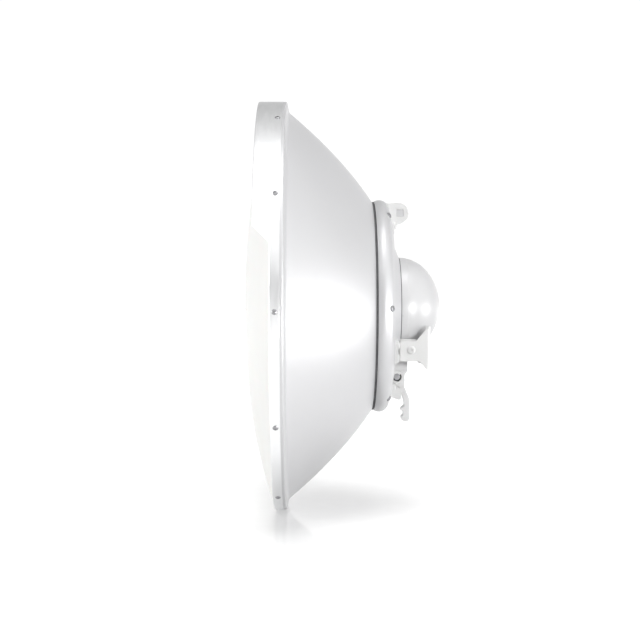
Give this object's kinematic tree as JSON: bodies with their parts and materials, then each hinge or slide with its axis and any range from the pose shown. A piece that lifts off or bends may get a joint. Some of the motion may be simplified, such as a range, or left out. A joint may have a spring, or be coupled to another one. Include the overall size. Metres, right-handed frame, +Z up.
{
  "type": "outdoor wireless bridge",
  "caption": "Shielded dish antenna with a domed cover, a radio under a rear dome, a tilting pole bracket and a sprung release lever.",
  "frame": {"origin": "midway between the two bolt holes, on the rear face of the pole bracket", "axes": "+Z up; the beam leaves along -X; +X runs from the bracket to the pole; +Y completes a right-handed frame"},
  "size_m": [0.2192, 0.4626, 0.4626],
  "materials": {
    "powder_coated_aluminium": "satin",
    "bare_aluminium": "satin",
    "cover_plastic": "matte",
    "housing_plastic": "satin",
    "white_steel": "satin",
    "white_plastic": "satin",
    "stainless_steel": "satin",
    "black_steel": "satin",
    "black_rubber": "matte",
    "black_plastic": "matte",
    "circuit_board": "gloss",
    "dielectric": "matte",
    "light_pipe": "gloss"
  },
  "bodies": {
    "pole_mount": {"pole_bracket": "white_steel", "pivot_bolts": "white_steel", "pivot_nuts": "stainless_steel", "pivot_washers": "black_plastic"},
    "release_lever": {"latch_lever": "white_plastic"},
    "reset_key": {"reset_button": "black_plastic"},
    "port_cover": {"port_door": "housing_plastic"},
    "antenna": {"reflector_dish": "powder_coated_aluminium", "hub_ring": "powder_coated_aluminium", "rim_band": "bare_aluminium", "feed_tube": "bare_aluminium", "sub_reflector": "bare_aluminium", "radio_socket": "bare_aluminium", "orthomode_block": "bare_aluminium", "radio_chassis": "bare_aluminium", "heat_sink": "bare_aluminium", "radome": "cover_plastic", "rear_dome": "housing_plastic", "hole_plugs": "housing_plastic", "tilt_lug_left": "white_steel", "tilt_lug_right": "white_steel", "upper_lug": "white_steel", "latch_bracket": "white_steel", "lug_screws": "white_steel", "upper_lug_screws": "white_steel", "latch_bracket_screws": "white_steel", "rim_rivets": "stainless_steel", "hub_ring_screws": "stainless_steel", "ring_anchors": "stainless_steel", "socket_screws": "stainless_steel", "board_standoffs": "stainless_steel", "board_screws": "stainless_steel", "shield_can": "stainless_steel", "port_door_pin": "stainless_steel", "ground_screw": "stainless_steel", "clinch_nuts": "stainless_steel", "latch_pin": "stainless_steel", "latch_pin_clips": "stainless_steel", "latch_spring": "black_steel", "radome_gasket": "black_rubber", "hub_ring_bead": "black_rubber", "dome_gasket": "black_rubber", "ethernet_jack": "black_plastic", "reset_switch": "black_plastic", "breather_vent": "black_plastic", "main_board": "circuit_board", "feed_cone": "dielectric", "status_lights": "light_pipe"}
  },
  "joints": [
    {"name": "elevation", "type": "hinge", "parent": "pole_mount", "child": "antenna", "pos_m": [-0.0218, 0, 0.0104], "axis": [0, 1, 0], "range_deg": [-10, 10]},
    {"name": "release", "type": "hinge", "parent": "antenna", "child": "release_lever", "pos_m": [-0.035, 0, -0.022], "axis": [0, 1, 0], "range_deg": [0, 14], "stiffness_Nm_per_rad": 0.6, "springref_deg": -20.05},
    {"name": "reset", "type": "slide", "parent": "antenna", "child": "reset_key", "axis": [0, 0, 1], "range_m": [0, 0.001], "stiffness_N_per_m": 600, "springref_m": -0.0008},
    {"name": "door_swing", "type": "hinge", "parent": "antenna", "child": "port_cover", "pos_m": [0, 0.0206, 0.0011], "axis": [1, 0, 0], "range_deg": [0, 85]}
  ]
}
